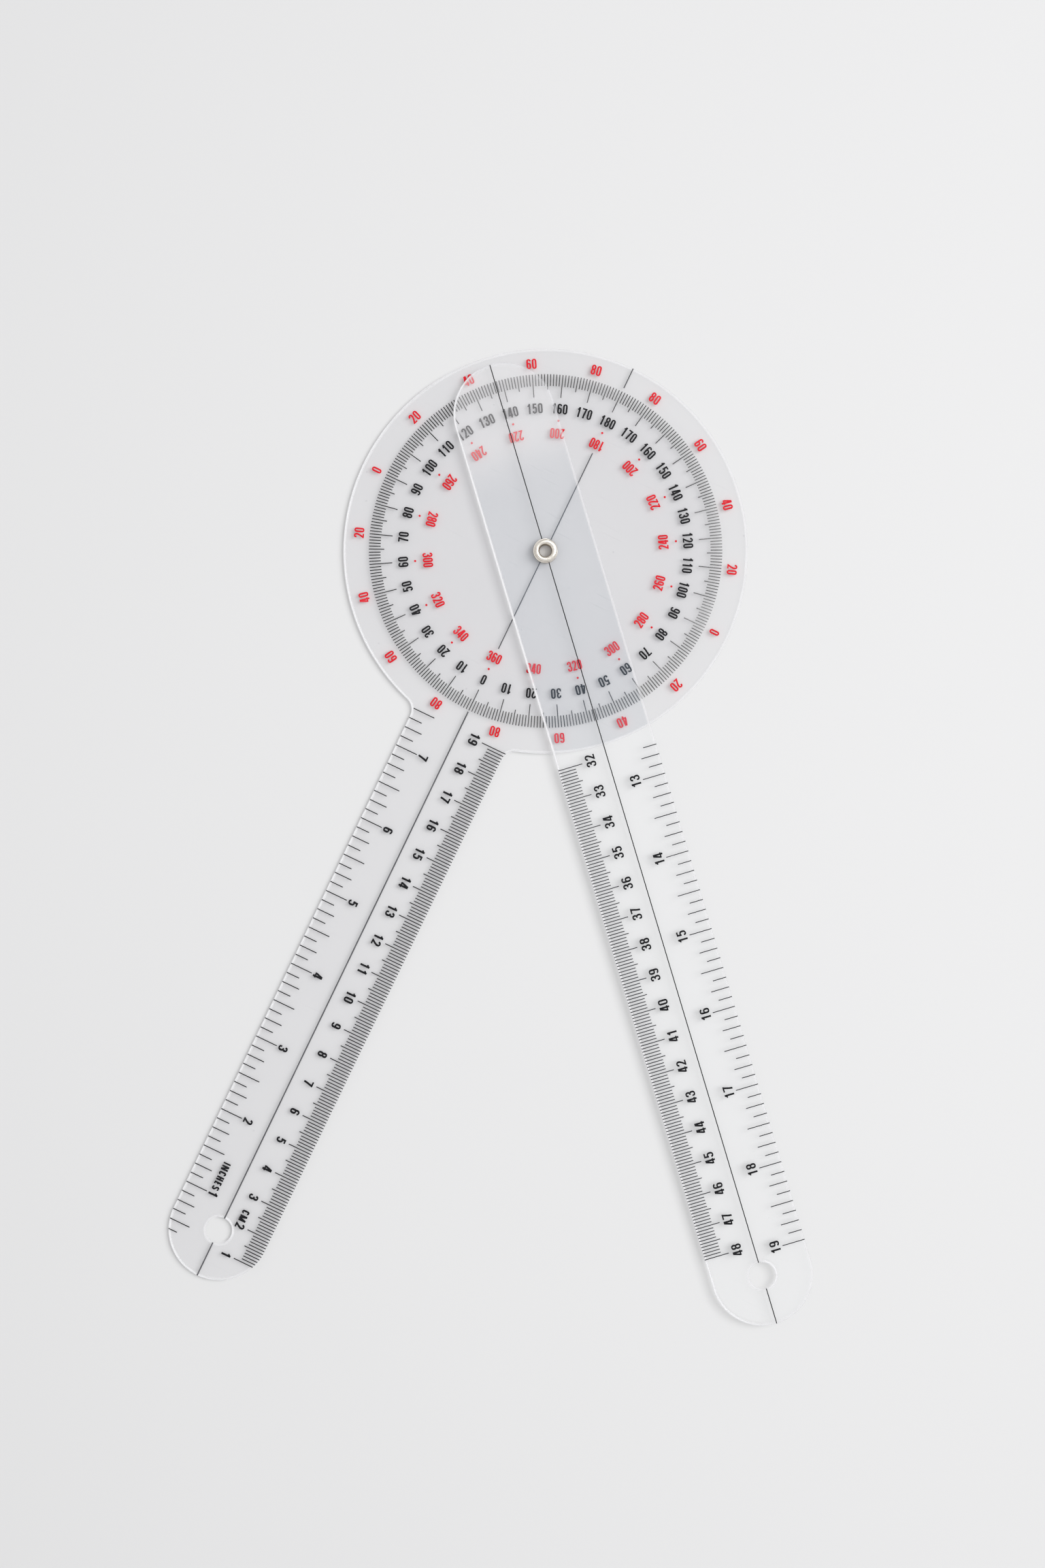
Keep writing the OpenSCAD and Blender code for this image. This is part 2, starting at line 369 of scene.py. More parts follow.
@dataclass(frozen=True)
class ClearSheet(Finish):
    """The flat faces of a clear plastic sheet: almost invisible, with a faint haze.

    Args:
        veil: share of light that one face stops.
        uneven: parts of the veil where the haze is thinnest and where it is thickest.
        cast: share of the veil that stops light on its way to the table.
        rim_loss: share of the veil missing from the ring of marks outwards, at the -X and the +X rim.
        rim_r: radii in metres between which the veil gets thinner.
        scratch_veil: what a scratch adds to the veil.
        dust_veil: what a speck of dust adds to the veil.
        lap_colour: the colour of the painted shade where the moving arm overlaps the dial.
        lap_veil: what the painted shade adds to the veil.
        lap_r: radii in metres between which the lap ends, at the dial's rim.
        tail_colour: the paler colour of the painted reflection on the moving arm's tail.
        tail_veil: what the painted reflection on the tail adds to the veil.
        tail_start: distances in metres along the tail between which that sets in.
        tail_way: unit vector from the pivot along the tail, or None for a sheet without one.
    """

    veil: float = 0.087
    uneven: Point = (0.92, 1.08)
    cast: float = 0.2
    rim_loss: Point = (0.0, 0.0)
    rim_r: Point = (0.0505, 0.0525)
    scratch_veil: float = 0.018
    dust_veil: float = 0.08
    lap_colour: Colour = (0.32, 0.4, 0.5)
    lap_veil: float = 0.0
    lap_r: Point = (0.0625, 0.0635)
    tail_colour: Colour = (0.95, 0.94, 0.96)
    tail_veil: float = 0.0
    tail_start: Point = (0.018, 0.038)
    tail_way: Point | None = None

    def dress(self, surface: Surface, effects: Effects) -> None:
        """Makes the haze, its thinner rim, scratches and dust, and on the arm a thicker painted shade over
        the dial and a painted reflection on its tail.

        Args:
            surface: the material's surface.
            effects: the shared surface effects.
        """
        drift = effects.drift.put(surface, Colour=self.colour, Strength=0.06, Scale=22.0)
        scratch = effects.scratches.put(surface, Scale=55.0, Amount=0.6)
        specks = effects.specks.put(surface, Scale=260.0, Share=0.05, Size=0.09)
        place, colour = surface.place(), drift["Colour"]
        reach, rim = surface.length(place), self.lap_r[1]
        thin, thick = self.uneven
        veil = surface.ranged(drift["Drift"], DRIFT, (self.veil * thin, self.veil * thick))
        loss = surface.ranged(surface.axis(place, "X"), (-rim, rim), self.rim_loss)
        loss = surface.maths("MULTIPLY", surface.ranged(reach, self.rim_r, smooth=True), loss)
        veil = surface.maths("MULTIPLY", veil, surface.maths("SUBTRACT", 1.0, loss))
        more = [(scratch["Mask"], self.scratch_veil), (specks["Mask"], self.dust_veil)]
        if self.tail_way is not None:
            # painted shade: a darker, bluer haze on the arm where it overlaps the dial
            lap_shade = surface.ranged(reach, self.lap_r, (1.0, 0.0), smooth=True)
            # painted reflection: a paler, thicker haze on the arm's tail
            tail = surface.ranged(surface.along(place, self.tail_way), self.tail_start, smooth=True)
            colour = surface.blend(tail, surface.blend(lap_shade, colour, self.lap_colour), self.tail_colour)
            more += [(lap_shade, self.lap_veil), (tail, self.tail_veil)]
        for mask, amount in more:
            veil = surface.maths("ADD", veil, surface.maths("MULTIPLY", mask, amount), clamp=True)
        surface.let_light_by(veil, self.cast)
        rough = surface.ranged(scratch["Mask"], UNIT, (0.18, 0.42))
        surface.set(IOR=PLASTIC_IOR, Base_Color=colour, Roughness=rough)
        surface.bump(scratch["Height"], 0.2, 0.00001)


@dataclass(frozen=True)
class CutEdge(Finish):
    """The rounded cut edge of a clear sheet, which shows much more than its faces.

    The edges turned away from the window get a paler colour and a glow, painted light that stands in for
    light leaving the sheet there.

    Args:
        lit: painted light colour of an edge turned away from the window.
        veils: how opaque an edge is that faces the window, and one that is turned away from it.
        casts: share of each that stops light on its way to the table.
        glow: painted glow, as emission, of an edge turned straight away from the window.
        away: level unit vector that points away from the window.
    """

    lit: Colour = (0.9, 0.9, 0.92)
    veils: Point = (0.2, 0.7)
    casts: Point = (0.3, 1.35)
    glow: float = 0.1
    away: Point = (-1.0, 0.0)

    def dress(self, surface: Surface, effects: Effects) -> None:
        """Makes the edge by the side of the window on which it lies, with painted light on the side turned
        away.

        Args:
            surface: the material's surface.
            effects: the shared surface effects.
        """
        drift = effects.drift.put(surface, Colour=self.colour, Strength=0.3, Scale=160.0)
        cuts = effects.scratches.put(surface, Scale=300.0, Amount=0.8)
        shape = surface.add("ShaderNodeNewGeometry").outputs
        side = surface.ranged(shape["Backfacing"], UNIT, (1.0, -1.0))
        turned = surface.maths("MULTIPLY", surface.along(shape["Normal"], self.away), side)
        outward = surface.ranged(turned, (0.0, 0.3), smooth=True)
        cut = surface.maths("MULTIPLY", cuts["Mask"], 0.1)
        veil = surface.maths("ADD", surface.ranged(outward, UNIT, self.veils), cut, clamp=True)
        surface.let_light_by(veil, surface.ranged(outward, UNIT, self.casts))
        # painted light: edges turned away from the window take the paler colour and glow by emission
        surface.set(
            IOR=PLASTIC_IOR,
            Base_Color=surface.blend(outward, drift["Colour"], self.lit),
            Emission_Color=surface.blend(outward, grey(0.0), grey(1.0)),
            Emission_Strength=self.glow,
            Roughness=surface.ranged(drift["Drift"], DRIFT, (0.3, 0.5)),
        )
        surface.bump(cuts["Height"], 0.4, 0.00003)


@dataclass(frozen=True)
class PrintInk(Finish):
    """Screen-printed ink: nearly opaque, with a soft sheen and a few pinholes.

    Args:
        worn: the colour where the ink lies thin.
        cover: how opaque the ink is at the dial's -X rim and at its +X rim; a fall in opacity towards one rim
            is painted glare.
        span: half the distance in metres between the two.
    """

    worn: Colour = (0.1, 0.1, 0.1)
    cover: Point = (1.0, 1.0)
    span: float = 0.055

    def dress(self, surface: Surface, effects: Effects) -> None:
        """Makes the ink with its thin spots.

        Args:
            surface: the material's surface.
            effects: the shared surface effects.
        """
        drift = effects.drift.put(surface, Colour=self.colour, Strength=0.35, Scale=240.0)
        pinholes = effects.specks.put(surface, Scale=2600.0, Share=0.1, Size=0.25)
        thin = surface.ranged(drift["Drift"], (0.5, 0.8), (0.0, 0.5), smooth=True)
        worn = surface.maths("MAXIMUM", thin, pinholes["Mask"])
        rough = surface.ranged(drift["Drift"], DRIFT, (0.32, 0.46))
        surface.set(IOR=INK_IOR, Base_Color=surface.blend(worn, drift["Colour"], self.worn), Roughness=rough)
        if min(self.cover) < 1.0:
            # painted glare: opacity that falls from one rim to the other makes the ink paler on one side
            cover = surface.ranged(surface.axis(surface.place(), "X"), (-self.span, self.span), self.cover)
            uneven = surface.ranged(drift["Drift"], DRIFT, (0.04, -0.04))
            surface.set(Alpha=surface.maths("ADD", cover, uneven, clamp=True))
        surface.bump(drift["Drift"], 0.15, 0.00002)


@dataclass(frozen=True)
class EyeletMetal(Finish):
    """Nickel-plated brass with forming lines, small dents, brownish stains at random and painted brownish
    shade on its steep sides.

    Args:
        warm: the brownish colour of the stains and of the painted shade on steep sides.
    """

    warm: Colour = (0.3, 0.23, 0.16)

    def dress(self, surface: Surface, effects: Effects) -> None:
        """Makes the plating, with painted shade and more roughness on steep sides than on top.

        Args:
            surface: the material's surface.
            effects: the shared surface effects.
        """
        drift = effects.drift.put(surface, Colour=self.colour, Strength=0.2, Scale=700.0)
        scratch = effects.scratches.put(surface, Scale=900.0, Amount=0.7)
        upward = surface.axis(surface.add("ShaderNodeNewGeometry").outputs["Normal"], "Z")
        # painted shade: the steeper a face, such as the bore's wall, the more it takes the brownish colour
        steep = surface.ranged(upward, (0.6, 0.05), (0.0, 0.85), smooth=True)
        stained = surface.ranged(drift["Drift"], (0.5, 0.75), (0.0, 0.35))
        stain_and_shade = surface.maths("ADD", steep, stained, clamp=True)
        rough = surface.ranged(scratch["Mask"], UNIT, (0.29, 0.44))
        surface.set(
            Metallic=1.0,
            Base_Color=surface.blend(stain_and_shade, drift["Colour"], self.warm),
            Roughness=surface.maths("ADD", rough, surface.maths("MULTIPLY", stain_and_shade, 0.14)),
        )
        surface.bump(surface.maths("ADD", drift["Drift"], scratch["Height"]), 0.3, 0.00006)


@dataclass(frozen=True)
class TableTop(Finish):
    """The pale matt table that the goniometer lies on.

    Args:
        glow: what the far table adds, so that it stays as pale as the near one.
        far: distances in metres between which that sets in.
        last_glow: what the farthest table adds, since it mirrors more of the room.
        farthest: distances in metres between which the glow falls to that.
    """

    glow: float = 0.43
    far: Point = (0.4, 2.6)
    last_glow: float = 0.36
    farthest: Point = (2.6, 7.0)

    def dress(self, surface: Surface, effects: Effects) -> None:
        """Makes the table and its far glow.

        Args:
            surface: the material's surface.
            effects: the shared surface effects.
        """
        drift = effects.drift.put(surface, Colour=self.colour, Strength=0.02, Scale=6.0)
        reach = surface.length(surface.place())
        glow = surface.blend(surface.ranged(reach, self.farthest), grey(self.glow), grey(self.last_glow))
        surface.set(
            Base_Color=drift["Colour"],
            Roughness=surface.ranged(drift["Drift"], DRIFT, (0.7, 0.8)),
            Emission_Color=surface.blend(surface.ranged(reach, self.far), grey(0.0), glow),
            Emission_Strength=1.0,
        )


@dataclass(frozen=True)
class Pen:
    """The broad nib that draws the print's numbers.

    Args:
        stem: half the width of an upright stroke.
        bar: half the height of a level stroke.
    """

    stem: float
    bar: float

    def reach(self, way: Point) -> Point:
        """Offset from a stroke's middle line to its edge.

        Args:
            way: unit vector square to the stroke.

        Returns:
            The offset, longer for uprights than for level strokes.
        """
        a, b = self.stem**2 * way[0], self.bar**2 * way[1]
        length = math.sqrt(a * way[0] + b * way[1])
        return a / length, b / length


def bow(x: float, y: float, across: float, up: float, start: float, stop: float) -> list[Point]:
    """Points along a squarish arc, in parts of a glyph's inner box.

    Args:
        x: the arc's centre across the box.
        y: the arc's centre up the box.
        across: half width of the arc.
        up: half height of the arc.
        start: first angle in degrees, counter-clockwise from +x.
        stop: last angle.

    Returns:
        The points in order.
    """
    steps = max(4, math.ceil(abs(stop - start) / BOW_STEP))
    points = []
    for i in range(steps + 1):
        turn = math.radians(start + (stop - start) * i / steps)
        c, s = (math.copysign(abs(v) ** SQUARISH, v) for v in (math.cos(turn), math.sin(turn)))
        points.append((x + across * c, y + up * s))
    return points


SIX_BACK = bow(0.5, 0.77, 0.5, 0.23, 12, 180) + bow(0.5, 0.24, 0.5, 0.24, 180, 360)
SIX = [SIX_BACK + bow(0.5, 0.36, 0.5, 0.21, 0, 172)]
STEM = [(0.0, -0.1), (0.0, 1.1)]
FAR_STEM = [(1.0, -0.1), (1.0, 1.1)]
STROKES: dict[str, list[list[Point]]] = {
    "0": [bow(0.5, 0.77, 0.5, 0.23, 0, 180) + bow(0.5, 0.23, 0.5, 0.23, 180, 360) + [(1.0, 0.77)]],
    "1": [[(0.62, -0.1), (0.62, 1.1)], [(-0.02, 0.79), (0.3, 0.82), (0.55, 0.98)]],
    "2": [
        bow(0.5, 0.75, 0.5, 0.25, 178, -22) + [(0.62, 0.36), (0.2, 0.12), (0.02, -0.08)],
        [(-0.3, 0.0), (1.2, 0.0)],
    ],
    "3": [
        bow(0.46, 0.77, 0.48, 0.23, 182, -90),
        bow(0.44, 0.27, 0.56, 0.27, 90, -184),
        [(0.25, 0.54), (0.55, 0.54)],
    ],
    "4": [[(0.8, -0.1), (0.8, 1.1)], [(0.6, 1.1), (-0.04, 0.24)], [(-0.3, 0.19), (1.3, 0.19)]],
    "5": [
        [(0.1, 1.0), (1.1, 1.0)],
        [(0.14, 1.1), (0.06, 0.5)],
        [(0.04, 0.53)] + bow(0.48, 0.33, 0.52, 0.31, 128, -90) + bow(0.48, 0.25, 0.5, 0.25, 270, 184),
    ],
    "6": SIX,
    "7": [[(-0.3, 1.0), (1.3, 1.0)], [(0.96, 1.0), (0.78, 0.68), (0.56, 0.32), (0.42, -0.1)]],
    "8": [bow(0.5, 0.77, 0.49, 0.23, 0, 360), bow(0.5, 0.27, 0.5, 0.27, 0, 360)],
    "9": [[(1.0 - x, 1.0 - y) for x, y in stroke] for stroke in SIX],
    "C": [bow(0.5, 0.76, 0.5, 0.24, 4, 180) + bow(0.5, 0.24, 0.5, 0.24, 180, 356)],
    "E": [STEM, [(0.0, 1.0), (1.3, 1.0)], [(0.0, 0.52), (1.1, 0.52)], [(0.0, 0.0), (1.3, 0.0)]],
    "H": [STEM, FAR_STEM, [(0.0, 0.52), (1.0, 0.52)]],
    "I": [[(0.5, -0.1), (0.5, 1.1)]],
    "M": [STEM, FAR_STEM, [(0.02, 1.1), (0.48, -0.1)], [(0.98, 1.1), (0.52, -0.1)]],
    "N": [STEM, FAR_STEM, [(0.02, 1.1), (0.98, -0.1)]],
    "S": [
        bow(0.5, 0.76, 0.5, 0.24, 8, 180)
        + [(0.06, 0.64), (0.3, 0.54), (0.7, 0.46), (0.94, 0.36)]
        + bow(0.5, 0.24, 0.5, 0.24, 0, -172)
    ],
}
LETTER_WIDTHS = {"I": 0.5, "N": 1.58, "C": 1.25, "H": 1.32, "E": 1.05, "S": 1.3, "M": 2.0}


@dataclass(frozen=True)
class GlyphShape:
    """A flat glyph: its corners, its triangles and its outline's edges, from its lower left corner."""

    corners: list[Point]
    triangles: list[tuple[int, ...]]
    outline: list[tuple[int, int]]


@dataclass
class Typeface:
    """A condensed bold face for numbers, drawn stroke by stroke.

    Args:
        height: height of a glyph.
        width: width of a figure.
        pitch: from one figure to the next, middle to middle.
        pen: the nib.
        widths: widths of the letters, for words that are set with an even gap.
        gap: the gap between letters.
    """

    height: float
    width: float
    pitch: float
    pen: Pen
    widths: dict[str, float] = field(default_factory=dict)
    gap: float = 0.47
    _made: dict[str, GlyphShape] = field(default_factory=dict)

    def shape(self, glyph: str) -> GlyphShape:
        """Draws a glyph, once.

        Args:
            glyph: the character.

        Returns:
            The glyph's flat shape.
        """
        if glyph not in self._made:
            self._made[glyph] = self._unite(self._pieces(glyph))
        return self._made[glyph]

    def glyph_width(self, glyph: str) -> float:
        """Width of one glyph."""
        return self.widths.get(glyph, self.width)

    def _pieces(self, glyph: str) -> list[list[Point]]:
        """Cuts a glyph's strokes into convex pieces inside its box.

        Args:
            glyph: the character.

        Returns:
            The pieces, each a ring of corners.
        """
        wide, (stem, bar) = self.glyph_width(glyph), (self.pen.stem, self.pen.bar)
        pieces = []
        for stroke in STROKES[glyph]:
            line = [(stem + x * (wide - 2 * stem), bar + y * (self.height - 2 * bar)) for x, y in stroke]
            sides = []
            last = len(line) - 1
            closed = math.dist(line[0], line[last]) < 1e-6
            for i, (x, y) in enumerate(line):
                x0, y0 = line[i - 1] if i else line[last - 1 if closed else 0]
                x1, y1 = line[i + 1] if i < last else line[1 if closed else last]
                length = math.hypot(x1 - x0, y1 - y0)
                dx, dy = self.pen.reach(((y1 - y0) / length, (x0 - x1) / length))
                sides.append(((x + dx, y + dy), (x - dx, y - dy)))
            pieces += [self._clip([a, c, d, b], wide) for (a, b), (c, d) in zip(sides, sides[1:])]
        return [piece for piece in pieces if len(piece) > 2]

    def _clip(self, ring: list[Point], wide: float) -> list[Point]:
        """Trims a convex ring to the glyph's box.

        Args:
            ring: the ring's corners.
            wide: the box's width.

        Returns:
            The trimmed ring, empty if nothing is left.
        """
        for axis, limit, sign in ((0, 0.0, 1), (0, wide, -1), (1, 0.0, 1), (1, self.height, -1)):
            kept: list[Point] = []
            for i, here in enumerate(ring):
                before = ring[i - 1]
                inside, was = sign * (here[axis] - limit) >= 0, sign * (before[axis] - limit) >= 0
                if inside != was:
                    share = (limit - before[axis]) / (here[axis] - before[axis])
                    kept.append(tuple(b + (h - b) * share for b, h in zip(before, here)))
                if inside:
                    kept.append(here)
            ring = kept
        return ring

    @staticmethod
    def _unite(pieces: list[list[Point]]) -> GlyphShape:
        """Unites overlapping pieces into one flat shape.

        Args:
            pieces: the convex pieces.

        Returns:
            The united shape.
        """
        corners, rings = [], []
        for piece in pieces:
            rings.append(list(range(len(corners), len(corners) + len(piece))))
            corners += [Vector(corner) for corner in piece]
        points, _, faces, _, _, sources = delaunay_2d_cdt(corners, [], rings, 1, WELD)
        triangles = [tuple(face) for face, source in zip(faces, sources) if source]
        edges = [edge for face in triangles for edge in zip(face, face[1:] + face[:1])]
        inner = set(edges)
        outline = [(a, b) for a, b in edges if (b, a) not in inner]
        return GlyphShape([tuple(p) for p in points], triangles, outline)

    def lay_out(self, text: str) -> list[tuple[str, float]]:
        """Sets a word or a number in a row about its middle.

        Args:
            text: the characters.

        Returns:
            Each character with the place of its left side.
        """
        if self.widths:
            total = sum(self.glyph_width(g) for g in text) + self.gap * (len(text) - 1)
            starts, x = [], -total / 2
            for glyph in text:
                starts.append((glyph, x))
                x += self.glyph_width(glyph) + self.gap
            return starts
        middle = (len(text) - 1) / 2
        return [(g, (i - middle) * self.pitch - self.width / 2) for i, g in enumerate(text)]


def put_in_scene(name: str, data: bpy.types.ID) -> bpy.types.Object:
    """Makes an object of some data and puts it into the scene.

    Args:
        name: the object's name.
        data: its mesh, light or camera.

    Returns:
        The new object.
    """
    made = bpy.data.objects.new(name, data)
    bpy.context.scene.collection.objects.link(made)
    return made


def settle(mesh: bmesh.types.BMesh, name: str, materials: list[bpy.types.Material]) -> bpy.types.Object:
    """Turns a mesh into an object of the scene.

    Args:
        mesh: the mesh, in metres.
        name: the object's name.
        materials: its materials in slot order.

    Returns:
        The new object.
    """
    data = bpy.data.meshes.new(name)
    mesh.to_mesh(data)
    mesh.free()
    for material in materials:
        data.materials.append(material)
    return put_in_scene(name, data)


def finish_piece(
    mesh: bmesh.types.BMesh,
    name: str,
    materials: list[bpy.types.Material],
    body: Body,
    replaced: str | None = None,
) -> bpy.types.Object:
    """Turns a mesh into a piece that rides on a body.

    Args:
        mesh: the mesh, in metres.
        name: the piece's name.
        materials: its materials in slot order.
        body: the body that it rides on.
        replaced: the CAD node that it stands for.

    Returns:
        The new piece.
    """
    loose = [v for v in mesh.verts if not v.link_faces]
    bmesh.ops.delete(mesh, geom=loose, context="VERTS")
    piece = settle(mesh, name, materials)
    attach(piece, body.value)
    if replaced:
        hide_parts(replaced)
    LOG.info("%s: %d faces, rides on %s", name, len(piece.data.polygons), body.value)
    return piece


def sweep(centre: Point, radius: float, start: float, stop: float, count: int) -> list[Point]:
    """Points along an arc, both ends among them.

    Args:
        centre: the arc's centre.
        radius: its radius.
        start: first angle in degrees.
        stop: last angle.
        count: how many steps it takes.

    Returns:
        The points in order.
    """
    turns = [math.radians(start + (stop - start) * i / count) for i in range(count + 1)]
    return [(centre[0] + radius * math.cos(t), centre[1] + radius * math.sin(t)) for t in turns]


def arc(centre: Point, radius: float, start: float, stop: float, step: float) -> list[Point]:
    """Points along an arc in steps of so many degrees at most, its first end left out."""
    return sweep(centre, radius, start, stop, max(2, math.ceil(abs(stop - start) / step)))[1:]


@dataclass
class SheetPiece:
    """A flat clear sheet with softly rounded cut edges, as both arms are.

    Args:
        name: the piece's name.
        node: the CAD node that it stands for, which gives its heights.
        body: the body that it rides on.
        turn: angle in degrees that it is turned about the pivot.
        half_w: half the arm's width.
        tip_y: pivot to the centre of the arm's round tip.
        round_in: how far in from the cut the rounded edge reaches.
        round_up: how far up the cut it reaches.
        steps: faces across each rounded edge.
        pivot_r: radius of its pivot hole.
        hang_r: radius of its hanging hole.
        hang_y: pivot to hanging hole.
        tip_step: largest angle in degrees between two corners of a round end.
    """

    name: str
    node: str
    body: Body
    turn: float = 0.0
    half_w: float = 16.0
    tip_y: float = 236.8
    round_in: float = 0.8
    round_up: float = 0.36
    steps: int = 6
    pivot_r: float = 2.4
    hang_r: float = 4.1
    hang_y: float = 237.0
    tip_step: float = 2.5

    def outline(self) -> list[Point]:
        """The sheet's outer ring, counter-clockwise."""
        raise NotImplementedError

    def holes(self) -> list[list[Point]]:
        """The rings of the sheet's pivot hole and hanging hole, clockwise."""
        pivot = arc((0.0, 0.0), self.pivot_r, 360, 0, 6.0)
        return [pivot, arc((0.0, -self.hang_y), self.hang_r, 360, 0, 4.0)]

    def tip(self) -> list[Point]:
        """The arm's round tip."""
        return arc((0.0, -self.tip_y), self.half_w, 180, 360, self.tip_step)

    def build(self, face: bpy.types.Material, edge: bpy.types.Material) -> bpy.types.Object:
        """Builds the sheet.

        Args:
            face: finish of the flat faces.
            edge: finish of the cut edges.

        Returns:
            The piece, riding on its body.
        """
        mesh = bmesh.new()
        low, high = (corner.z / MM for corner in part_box(self.node))
        profile = self._profile(low, high)
        rims: dict[int, list[bmesh.types.BMEdge]] = {0: [], len(profile) - 1: []}
        for ring in (self.outline(), *self.holes()):
            rows = self._rows(mesh, ring, profile)
            count = len(ring)
            for below, above in zip(rows, rows[1:]):
                for i in range(count):
                    j = (i + 1) % count
                    wall = mesh.faces.new([below[i], below[j], above[j], above[i]])
                    wall.smooth, wall.material_index = True, 1
            for level, edges in rims.items():
                row = rows[level]
                edges += [mesh.edges.get((row[i], row[(i + 1) % count])) for i in range(count)]
        for level, edges in rims.items():
            made = bmesh.ops.triangle_fill(mesh, use_beauty=True, use_dissolve=False, edges=edges)
            for cap in (g for g in made["geom"] if isinstance(g, bmesh.types.BMFace)):
                cap.material_index = 0
                if (cap.normal.z > 0) != (level > 0):
                    cap.normal_flip()
        sheet = finish_piece(mesh, self.name, [face, edge], self.body, self.node)
        sheet.visible_diffuse = False
        return sheet

    def _profile(self, low: float, high: float) -> list[Point]:
        """The rounded edge from the lower face to the upper face.

        Args:
            low: height of the lower face.
            high: height of the upper face.

        Returns:
            Pairs of how far in from the cut and how high.
        """
        turns = [math.radians(90 * i / self.steps) for i in range(self.steps + 1)]
        lower = [(self.round_in * (1 - math.sin(t)), low + self.round_up * (1 - math.cos(t))) for t in turns]
        return lower + [(inset, high + low - z) for inset, z in reversed(lower)]

    def _rows(
        self, mesh: bmesh.types.BMesh, ring: list[Point], profile: list[Point]
    ) -> list[list[bmesh.types.BMVert]]:
        """Adds a ring's corners at each step of the profile.

        Args:
            mesh: the mesh that they go into.
            ring: the ring, with the plastic on its left.
            profile: insets and heights.

        Returns:
            One row of corners for each step.
        """
        spin = Matrix.Rotation(math.radians(self.turn), 2)
        inward = []
        for i, (x, y) in enumerate(ring):
            (x0, y0), (x1, y1) = ring[i - 1], ring[(i + 1) % len(ring)]
            length = math.hypot(x1 - x0, y1 - y0)
            inward.append(((y0 - y1) / length, (x1 - x0) / length))
        rows = []
        for inset, z in profile:
            flat = [spin @ Vector((x + dx * inset, y + dy * inset)) for (x, y), (dx, dy) in zip(ring, inward)]
            rows.append([mesh.verts.new((p.x * MM, p.y * MM, z * MM)) for p in flat])
        return rows


@dataclass
class DialSheet(SheetPiece):
    """The round dial with the fixed arm cut in one piece with it.

    Args:
        disc_r: radius of the dial.
        neck_r: radius of the hollow corners at the arm's root.
    """

    disc_r: float = 63.5
    neck_r: float = 4.5

    def outline(self) -> list[Point]:
        """The dial, its two hollow corners and the arm.

        Returns:
            The outer ring, counter-clockwise.
        """
        neck_x = self.half_w + self.neck_r
        neck_y = math.sqrt((self.disc_r + self.neck_r) ** 2 - neck_x**2)
        lean = math.degrees(math.atan2(neck_y, neck_x))
        dial = arc((0.0, 0.0), self.disc_r, -lean, 180 + lean, 1.5)
        left = arc((-neck_x, -neck_y), self.neck_r, lean, 0, 8.0)
        right = arc((neck_x, -neck_y), self.neck_r, 180, 180 - lean, 8.0)[:-1]
        return dial + left + self.tip() + right


@dataclass
class ArmSheet(SheetPiece):
    """The moving arm, round at its tip and at its tail.

    Args:
        tail_y: pivot to the centre of the round tail.
    """

    tail_y: float = 44.8

    def outline(self) -> list[Point]:
        """The round tail and the round tip, with straight edges between them."""
        return arc((0.0, self.tail_y), self.half_w, 0, 180, self.tip_step) + self.tip()


